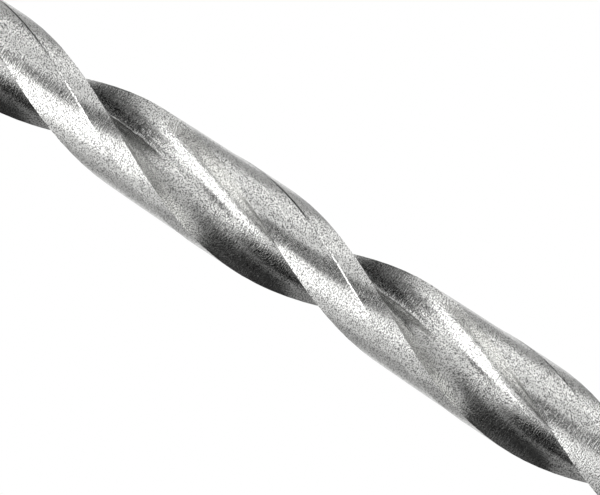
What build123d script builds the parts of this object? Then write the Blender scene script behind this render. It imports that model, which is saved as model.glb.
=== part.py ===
from build123d import *
import math
import os

# A right-hand, two-flute jobber twist drill, ground from one rod and standing on the flat end of its shank.
# +Z runs along the axis to the point, and the origin is the centre of the shank's end. Millimetres and degrees.

# Driving dimensions
drill_d = 8.0               # across the margins, at the point
shank_d = 7.96              # the plain shank is ground a little under the margins
shank_ease_l = 1.0          # length of the slight cone from the shank up to the full diameter
plain_gap = 1.5             # the shank stops this far below the last trace of a flute
overall_l = 117.0
flute_l = 75.0              # from the point to the last trace of a flute
lead = 52.0                 # advance of the helix in one turn, an angle of 25.8 at the margin
point_angle = 118.0
web_at_point = 1.5
web_taper = 0.012           # growth of the web per millimetre towards the shank
land_width = 80.7           # from the leading corner back to the heel
margin_width = 25.0         # from the leading corner back to the step
margin_step = 0.05
step_ramp = 1.5             # the step falls over this angle
heel_drop = 0.17            # the land's back is eased off to this depth at the heel
run_out_l = 9.0             # where the flute wheel lifts out of the rod
shank_chamfer = 0.4

# Section of a flute: shares are of the drill's radius, directions are counted from the leading corner
rake_shares = (1.25, 1.0, 0.76, 0.55)       # the rake side is set out from outside the rod inwards
bottom_r = 1.6
bottom_at = 62.0                            # direction of the centre of the round bottom
bottom_turns = (-95.0, -125.0, -155.0)      # where the wall follows the bottom, about that centre
back_share = 0.78                           # the back wall passes this far out...
back_turn = 1.0                             # ...at this angle past the next land's heel
exit_share = 1.12                           # and leaves the rod on its way out to here
exit_turn = 8.5

# The grinding of the land's back
land_wheel_depth = 0.68     # sets how fast its wheel lifts at the run-out
land_overrun = 14.0         # its wheel passes the heel by this angle
step_rise = 0.4             # and its side reaches this far up, clear of the margin

# The point grinder sweeps each flank as part of a cone, which leans out and passes ahead of its lip
flank_cone_half = 25.0
flank_vertex_out = 8.0
flank_axis_ahead = 1.9
flank_depth = 7.0
flank_cone_l = 40.0
flank_tip_r = 0.001         # the cone's tip, as good as sharp

# Worked-out dimensions
radius = drill_d / 2
half_point = point_angle / 2
heel_at = 180.0 - land_width    # the next land's heel, ahead of the leading corner
step_foot_at = -margin_width - step_ramp
flute_end_z = overall_l - flute_l
shank_l = flute_end_z - plain_gap
lift_start_z = flute_end_z + run_out_l

# Cutters stand clear of the rod, and are lofted through sections this far apart
clear = 1.2
full_gap = 2.0
run_out_gap = 1.5
upright = (Align.CENTER, Align.CENTER, Align.MIN)


def polar_point(r, angle, z=0.0):
    return Vector(r * math.cos(math.radians(angle)), r * math.sin(math.radians(angle)), z)


def twist(z):
    """Direction of the first land's leading corner at height z."""
    return 360.0 * z / lead


def half_web(z):
    return (web_at_point + web_taper * (overall_l - z)) / 2


def wheel_lift(z, depth):
    """How far a wheel that grinds to this depth has risen out of the rod at height z."""
    past = max(0.0, lift_start_z - z)
    wheel_r = (run_out_l ** 2 + depth ** 2) / (2 * depth)
    return wheel_r - math.sqrt(wheel_r ** 2 - min(past, wheel_r) ** 2)


def lip_offset(r, web):
    """Direction of a straight lip's point at distance r, carried along the helix into one plane."""
    along_lip = math.sqrt(r ** 2 - web ** 2)
    return math.degrees(math.asin(web / r)) + 360.0 * along_lip / math.tan(math.radians(half_point)) / lead


def flute_profile(web):
    """Distances and directions along the flute's wall, counted from the leading corner.

    The rake side has the form that the point grind turns into a straight lip. A round bottom follows, which
    touches the web, and then the back wall, which runs out to the next land's heel.
    """
    rake = [radius * share for share in rake_shares]
    profile = [(r, lip_offset(r, web) - lip_offset(radius, web)) for r in rake]
    centre = polar_point(web + bottom_r, bottom_at)
    for turn in bottom_turns:
        wall = centre + polar_point(bottom_r, turn)
        profile.append((math.hypot(wall.X, wall.Y), math.degrees(math.atan2(wall.Y, wall.X))))
    profile.append((radius * back_share, heel_at + back_turn))
    profile.append((radius - heel_drop, heel_at))
    profile.append((radius * exit_share, heel_at + exit_turn))
    return profile


def land_profile():
    """The eased back of the land, from the foot of the margin's step, through the heel, to well past it."""
    past_at = -land_width - land_overrun
    ease = (heel_drop - margin_step) / (land_width + step_foot_at)
    angles = (step_foot_at, (step_foot_at + past_at) / 2, past_at)
    return [(radius - margin_step - ease * (step_foot_at - angle), angle) for angle in angles]


def smooth_edge(profile, nominal, lift, z):
    """A curve through a profile at height z, with the nominal profile's spacing on every section."""
    flat = [polar_point(*place) for place in nominal]
    run = [0.0]
    for here, there in zip(flat, flat[1:]):
        run.append(run[-1] + (there - here).length)
    points = [polar_point(r + lift, angle + twist(z), z) for r, angle in profile]
    return Edge.make_spline(points, parameters=[along / run[-1] for along in run])


def cutter_section(edges, z):
    """A closed section: the ground edges, joined by an arc that stands clear of the rod."""
    start = edges[0].position_at(0)
    end = edges[-1].position_at(1)
    outer = clear + max(math.hypot(corner.X, corner.Y) for corner in (start, end))
    begin = math.degrees(math.atan2(start.Y, start.X))
    span = (math.degrees(math.atan2(end.Y, end.X)) - begin + 180.0) % 360.0 - 180.0
    first, middle, last = (polar_point(outer, begin + span * share, z) for share in (0.0, 0.5, 1.0))
    back = Edge.make_three_point_arc(last, middle, first)
    return Wire(edges + [Edge.make_line(end, last), back, Edge.make_line(first, start)])


def flute_section(z):
    lift = wheel_lift(z, radius - half_web(z))
    return cutter_section([smooth_edge(flute_profile(half_web(z)), flute_profile(half_web(overall_l)), lift, z)], z)


def land_section(z):
    lift = wheel_lift(z, land_wheel_depth)
    back = smooth_edge(land_profile(), land_profile(), lift, z)
    top_at = step_foot_at + step_ramp * step_rise / margin_step
    top = polar_point(radius - margin_step + step_rise + lift, top_at + twist(z), z)
    return cutter_section([Edge.make_line(top, back.position_at(0)), back], z)


def helical_cutter(section_at):
    """A solid lofted through twisted sections, close together where the wheel lifts."""
    lifted = math.ceil(run_out_l / run_out_gap) + 1
    full = math.ceil((overall_l - lift_start_z) / full_gap)
    heights = [lift_start_z - run_out_gap * step for step in range(lifted, 0, -1)]
    heights += [lift_start_z + full_gap * step for step in range(full + 1)]
    return Solid.make_loft([section_at(z) for z in heights])


def rod():
    """The blank: a chamfered shank, a slight cone up from it and the fluted part's full diameter past the point."""
    shank_r = shank_d / 2
    shank = chamfer(Cylinder(shank_r, shank_l, align=upright).edges().sort_by(Axis.Z)[0], shank_chamfer)
    ease = Pos(0, 0, shank_l) * Cone(shank_r, radius, shank_ease_l, align=upright)
    body_from = shank_l + shank_ease_l
    return shank + ease + Pos(0, 0, body_from) * Cylinder(radius, overall_l + clear - body_from, align=upright)


def vertex_height(lean):
    """Height of a flank cone's vertex over the point, so that the cone's surface passes through the point."""
    out, ahead = flank_vertex_out, flank_axis_ahead
    cone_cos = math.cos(math.radians(flank_cone_half))
    lean_sin, lean_cos = math.sin(math.radians(lean)), math.cos(math.radians(lean))
    a = lean_cos ** 2 - cone_cos ** 2
    b = out * lean_sin * lean_cos
    c = (out * lean_sin) ** 2 - (out ** 2 + ahead ** 2) * cone_cos ** 2
    return (-b + math.sqrt(b ** 2 - a * c)) / a


def flank_cutter():
    """What the point grinder takes off the first land: all that lies outside the flank's cone."""
    lean = half_point - flank_cone_half
    vertex = (-flank_vertex_out, flank_axis_ahead, overall_l + vertex_height(lean))
    axis = (math.sin(math.radians(lean)), 0, -math.cos(math.radians(lean)))
    foot_r = flank_cone_l * math.tan(math.radians(flank_cone_half))
    cone = Plane(origin=vertex, z_dir=axis) * Cone(flank_tip_r, foot_r, flank_cone_l, align=upright)
    block = Pos(0, 0, overall_l - flank_depth) * Cylinder(radius + clear, flank_depth + 2 * clear, align=upright)
    return Rot(0, 0, twist(overall_l) - lip_offset(radius, half_web(overall_l))) * (block - cone)


drill = rod()
flute = helical_cutter(flute_section)
land_back = helical_cutter(land_section)
flank = flank_cutter()
for half_turn in (0.0, 180.0):
    for cutter in (flute, land_back, flank):
        drill = drill - Rot(0, 0, half_turn) * cutter

os.makedirs("parts", exist_ok=True)
export_step(drill, "parts/twist_drill.step")
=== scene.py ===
import math

import bpy
from mathutils import Matrix, Vector

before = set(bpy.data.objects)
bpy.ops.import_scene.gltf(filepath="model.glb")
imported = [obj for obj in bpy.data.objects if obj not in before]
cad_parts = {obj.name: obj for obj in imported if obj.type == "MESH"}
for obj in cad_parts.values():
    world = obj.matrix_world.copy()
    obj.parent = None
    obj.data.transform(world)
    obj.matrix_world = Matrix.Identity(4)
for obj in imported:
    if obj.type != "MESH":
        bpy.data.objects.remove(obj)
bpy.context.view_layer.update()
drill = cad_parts["twist_drill"]
print("frame loaded:", sorted(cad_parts))

millimetre = 0.001

# a Mix node's sockets for colours, and for numbers
colourA, colourB, mixedColour = 6, 7, 2
numberA, numberB = 2, 3


# sRGB hex to linear, for every colour in the file
def linearColour(hexText):
    channels = [int(hexText[place:place + 2], 16) / 255 for place in (1, 3, 5)]
    linear = [c / 12.92 if c <= 0.04045 else ((c + 0.055) / 1.055) ** 2.4 for c in channels]
    return (*linear, 1.0)


# adds one node: settings are its attributes, inputs are its sockets, given a value or another node's output
def addNode(tree, kind, inputs, output=0, **settings):
    node = tree.nodes.new(kind)
    for name, value in settings.items():
        setattr(node, name, value)
    for socket, value in inputs.items():
        if isinstance(value, bpy.types.NodeSocket):
            tree.links.new(value, node.inputs[socket])
        else:
            node.inputs[socket].default_value = value
    return node.outputs[output] if len(node.outputs) else node


def newMaterial(name):
    material = bpy.data.materials.new(name)
    material.use_nodes = True
    material.node_tree.nodes.clear()
    return material


# direction from azimuth, counted from +X towards +Y, and elevation above the horizon, both in degrees
def direction(azimuth, elevation):
    a, e = math.radians(azimuth), math.radians(elevation)
    return Vector((math.cos(e) * math.cos(a), math.cos(e) * math.sin(a), math.sin(e)))


# ground high speed steel: bare bright metal whose grinding marks break every reflection into sparkling grain
# a real wheel's grit leaves finer marks than these, which are as coarse as they need to be to show
groundSteel = {
    "lead": 52.0, "heelRadius": 3.83,    # the drill's own sizes, in millimetres
    "blend": (0.08, 0.02),    # how far inside the heel the land's finish starts, and is full
    "pitColour": "#7C7C7B", "faceColour": "#E4E4E2",    # bottoms and tops of the fine pits
    "landRoughness": 0.08, "fluteRoughness": 0.10,
    "noise": {"Scale": 1.0, "Detail": 1.0, "Roughness": 0.6},    # each mark's size gives it its own scale
    # size is across, across and along the drill with its flutes unwound, and depth is in millimetres too
    # edge is where in the noise a mark's wall starts and ends
    "marks": {
        "flute grinding": {"on": "flute", "size": (0.12, 0.12, 1.6), "edge": (0.38, 0.58), "depth": 0.002},
        "flute chatter": {"on": "flute", "size": (0.5, 0.5, 0.12), "edge": (0.38, 0.58), "depth": 0.003},
        "land grinding": {"on": "land", "size": (0.9, 0.9, 0.14), "edge": (0.35, 0.65), "depth": 0.002},
        "pits": {"on": "all", "size": (0.095, 0.095, 0.10), "edge": (0.40, 0.50), "depth": 0.0036},
    },
}


def makeGroundSteel(look):
    material = newMaterial("ground high speed steel")
    tree = material.node_tree
    place = addNode(tree, "ShaderNodeTexCoord", {}, output="Object")
    x, y, z = addNode(tree, "ShaderNodeSeparateXYZ", {0: place}).node.outputs

    # unwinding the helix makes a flute straight, so its marks run along it
    turnPerMetre = -2 * math.pi / (look["lead"] * millimetre)
    turn = addNode(tree, "ShaderNodeMath", {0: z, 1: turnPerMetre}, operation="MULTIPLY")
    straight = addNode(tree, "ShaderNodeVectorRotate", {"Vector": place, "Angle": turn, "Axis": (0, 0, 1)})

    # lands and shank lie outside the heel's radius, flutes inside it
    flat = addNode(tree, "ShaderNodeCombineXYZ", {0: x, 1: y})
    radius = addNode(tree, "ShaderNodeVectorMath", {0: flat}, output="Value", operation="LENGTH")
    start, full = [(look["heelRadius"] - inside) * millimetre for inside in look["blend"]]
    onLand = addNode(tree, "ShaderNodeMapRange", {"Value": radius, "From Min": start, "From Max": full})
    inFlute = addNode(tree, "ShaderNodeMath", {0: 1.0, 1: onLand}, operation="SUBTRACT")
    where = {"land": onLand, "flute": inFlute, "all": 1.0}

    relief = addNode(tree, "ShaderNodeNewGeometry", {}, output="Normal")
    for mark in look["marks"].values():
        marksPerMetre = [1 / (size * millimetre) for size in mark["size"]]
        spot = addNode(tree, "ShaderNodeMapping", {"Vector": straight, "Scale": marksPerMetre})
        height = addNode(tree, "ShaderNodeTexNoise", {"Vector": spot, **look["noise"]})
        low, high = mark["edge"]
        height = addNode(tree, "ShaderNodeMapRange", {
            "Value": height, "From Min": low, "From Max": high}, interpolation_type="SMOOTHSTEP")
        relief = addNode(tree, "ShaderNodeBump", {
            "Height": height, "Strength": where[mark["on"]],
            "Distance": mark["depth"] * millimetre, "Normal": relief})

    # the last mark is the pits, whose bottoms are also darker than the ground face
    pitColour, faceColour = linearColour(look["pitColour"]), linearColour(look["faceColour"])
    colour = addNode(tree, "ShaderNodeMix", {
        "Factor": height, colourA: pitColour, colourB: faceColour}, output=mixedColour, data_type="RGBA")
    roughness = addNode(tree, "ShaderNodeMix", {
        "Factor": onLand, numberA: look["fluteRoughness"], numberB: look["landRoughness"]}, data_type="FLOAT")
    steel = addNode(tree, "ShaderNodeBsdfPrincipled", {
        "Base Color": colour, "Metallic": 1.0, "Roughness": roughness, "Normal": relief})
    addNode(tree, "ShaderNodeOutputMaterial", {"Surface": steel})
    return material


steelMaterial = makeGroundSteel(groundSteel)
for slot in drill.material_slots:
    slot.material = steelMaterial
print("steel made")

# the camera looks at the fluted part from a little below, rolled so that the drill lies across the picture
cameraPlace = {
    "azimuth": 321.77, "elevation": -5.66, "roll": 33.4,    # degrees
    "height": 82.0, "aside": -0.5056,    # the point looked at, in millimetres from the foot of the axis
    "distance": 530.3, "focal": 394.6, "sensor": 36.0,    # millimetres
    "clip": (0.01, 20.0),    # metres
}


def makeCamera(spec):
    towardsViewer = direction(spec["azimuth"], spec["elevation"])
    across = direction(spec["azimuth"] - 90, 0)    # level, and square to the view
    along = towardsViewer.cross(across)
    roll = math.radians(spec["roll"])
    right = along * math.cos(roll) - across * math.sin(roll)
    up = -(along * math.sin(roll) + across * math.cos(roll))
    target = Vector((0, 0, spec["height"] * millimetre)) + across * spec["aside"] * millimetre
    data = bpy.data.cameras.new("camera")
    data.lens, data.sensor_width = spec["focal"], spec["sensor"]
    data.clip_start, data.clip_end = spec["clip"]
    camera = bpy.data.objects.new("camera", data)
    bpy.context.scene.collection.objects.link(camera)
    turned = Matrix((right, up, towardsViewer)).transposed()
    spot = target + towardsViewer * spec["distance"] * millimetre
    camera.matrix_world = Matrix.Translation(spot) @ turned.to_4x4()
    bpy.context.scene.camera = camera


makeCamera(cameraPlace)
print("camera placed")

# the studio that the steel mirrors: a pale dome with soft boxes and cards, as seen from the fluted part
studio = {
    "domeRadius": 1.6, "segments": 96, "rings": 48, "colour": "#FFFFFF", "domeLight": 0.86,
    "edge": (1.35, 0.65),    # a box starts and is full at these shares of its reach
    # degrees: turn is clockwise from the camera, and reach is half of the width and height
    # a later box is in front of an earlier one
    "boxes": {
        "dark table": {"turn": 20, "elevation": -60, "reach": (115, 50), "light": 0.02},
        "pale wall, low": {"turn": -80, "elevation": -26, "reach": (27, 26), "light": 0.55},
        "table edge": {"turn": 98, "elevation": -36, "reach": (26, 12), "light": 0.30},
        "table top": {"turn": 20, "elevation": -60, "reach": (115, 15), "light": 0.20},
        "apron": {"turn": 16, "elevation": -7, "reach": (48, 8), "light": 0.45},
        "ceiling": {"turn": -56, "elevation": 36, "reach": (50, 15), "light": 0.10},
        "black card": {"turn": -72, "elevation": 27, "reach": (21, 14), "light": 0.00},
        "black card's end": {"turn": -98, "elevation": 20, "reach": (18, 8), "light": 0.00},
        "upper box": {"turn": -12, "elevation": 20, "reach": (34, 8), "light": 1.45},
        "key box": {"turn": 36, "elevation": 24, "reach": (36, 18), "light": 2.30},
        "fill box": {"turn": -76, "elevation": 5, "reach": (24, 8), "light": 1.20},
        "camera": {"turn": -8, "elevation": 6, "reach": (18, 7), "light": 0.05},
        "low strip": {"turn": -6, "elevation": -3, "reach": (32, 4.5), "light": 1.35},
        "left stand": {"turn": -122, "elevation": -6, "reach": (22, 8), "light": 0.00},
        "right stand": {"turn": 88, "elevation": -9, "reach": (52, 10), "light": 0.00},
        "right curtain": {"turn": 120, "elevation": 5, "reach": (26, 8), "light": 0.50},
        "left curtain": {"turn": -128, "elevation": 8, "reach": (20, 8), "light": 0.50},
    },
}

bpy.ops.object.select_all(action="DESELECT")
bpy.ops.mesh.primitive_uv_sphere_add(segments=studio["segments"], ring_count=studio["rings"], radius=1)
dome = bpy.context.object
dome.name = "studio dome"
dome.location = (0, 0, cameraPlace["height"] * millimetre)
dome.rotation_euler = (0, 0, math.radians(cameraPlace["azimuth"]))
dome.scale = [studio["domeRadius"]] * 3

# a place on the dome, as its turn from the camera and its rise above the horizon
domeMaterial = newMaterial("soft boxes and cards")
tree = domeMaterial.node_tree
place = addNode(tree, "ShaderNodeTexCoord", {}, output="Object")
x, y, z = addNode(tree, "ShaderNodeSeparateXYZ", {0: place}).node.outputs
right = addNode(tree, "ShaderNodeMath", {0: y, 1: -1.0}, operation="MULTIPLY")
turn = addNode(tree, "ShaderNodeMath", {0: right, 1: x}, operation="ARCTAN2")
turn = addNode(tree, "ShaderNodeMath", {0: turn}, operation="DEGREES")
rise = addNode(tree, "ShaderNodeMath", {0: z}, operation="ARCSINE")
rise = addNode(tree, "ShaderNodeMath", {0: rise}, operation="DEGREES")
seenAt = addNode(tree, "ShaderNodeCombineXYZ", {0: turn, 1: rise})

light = studio["domeLight"]
start, full = studio["edge"]
for box in studio["boxes"].values():
    inBox = addNode(tree, "ShaderNodeMapping", {
        "Vector": seenAt, "Location": (box["turn"], box["elevation"], 0), "Scale": (*box["reach"], 1)},
        vector_type="TEXTURE")
    fromMiddle = addNode(tree, "ShaderNodeVectorMath", {0: inBox}, output="Value", operation="LENGTH")
    shown = addNode(tree, "ShaderNodeMapRange", {
        "Value": fromMiddle, "From Min": start, "From Max": full}, interpolation_type="SMOOTHSTEP")
    light = addNode(tree, "ShaderNodeMix", {
        "Factor": shown, numberA: light, numberB: box["light"]}, data_type="FLOAT")
glow = addNode(tree, "ShaderNodeEmission", {"Color": linearColour(studio["colour"]), "Strength": light})
addNode(tree, "ShaderNodeOutputMaterial", {"Surface": glow})
dome.data.materials.append(domeMaterial)
dome.visible_camera = dome.visible_diffuse = dome.visible_shadow = False    # seen in the steel alone
print("studio dome made")

# lamps for the floor and the shadow, above the key and fill boxes, in degrees and metres
lamps = {
    "key lamp": {"turn": 38, "elevation": 35, "distance": 0.9, "size": (0.8, 0.6), "light": 1.5},
    "fill lamp": {"turn": -76, "elevation": 30, "distance": 0.9, "size": (0.6, 0.5), "light": 0.9},
}
for name, spec in lamps.items():
    data = bpy.data.lights.new(name, "AREA")
    data.shape = "RECTANGLE"
    data.size, data.size_y = spec["size"]
    data.energy = spec["light"] * math.pi * data.size * data.size_y    # as bright at any size
    lamp = bpy.data.objects.new(name, data)
    bpy.context.scene.collection.objects.link(lamp)
    away = direction(cameraPlace["azimuth"] - spec["turn"], spec["elevation"])
    lamp.location = away * spec["distance"]
    lamp.rotation_euler = away.to_track_quat("Z", "Y").to_euler()
    lamp.visible_camera = lamp.visible_glossy = False

# floor of pale card: quite matt, so it shows the drill's shadow and nothing shines in it
paleCard = {"size": 6.0, "colour": "#ECECEC"}    # metres

bpy.ops.object.select_all(action="DESELECT")
bpy.ops.mesh.primitive_plane_add(size=paleCard["size"])
floor = bpy.context.object
floor.name = "floor"
floorMaterial = newMaterial("pale card")
matt = addNode(floorMaterial.node_tree, "ShaderNodeBsdfDiffuse", {"Color": linearColour(paleCard["colour"])})
addNode(floorMaterial.node_tree, "ShaderNodeOutputMaterial", {"Surface": matt})
floor.data.materials.append(floorMaterial)
floor.visible_glossy = False    # the steel mirrors the dome alone
print("lamps and floor made")

# world: plain soft light on everything, and white to the camera and in mirrors and glass
worldLight = {"colour": "#FFFFFF", "soft": 0.6, "seen": 1.0}

world = bpy.data.worlds.new("white studio")
world.use_nodes = True
world.node_tree.nodes.clear()
tree = world.node_tree
rays = addNode(tree, "ShaderNodeLightPath", {}).node
seen = addNode(tree, "ShaderNodeMath", {
    0: rays.outputs["Is Camera Ray"], 1: rays.outputs["Is Glossy Ray"]}, operation="MAXIMUM")
seen = addNode(tree, "ShaderNodeMath", {0: seen, 1: rays.outputs["Is Transmission Ray"]}, operation="MAXIMUM")
colour = linearColour(worldLight["colour"])
soft = addNode(tree, "ShaderNodeBackground", {"Color": colour, "Strength": worldLight["soft"]})
white = addNode(tree, "ShaderNodeBackground", {"Color": colour, "Strength": worldLight["seen"]})
mixed = addNode(tree, "ShaderNodeMixShader", {0: seen, 1: soft, 2: white})
addNode(tree, "ShaderNodeOutputWorld", {"Surface": mixed})
bpy.context.scene.world = world
bpy.context.scene.view_settings.view_transform = "Standard"
print("world made")
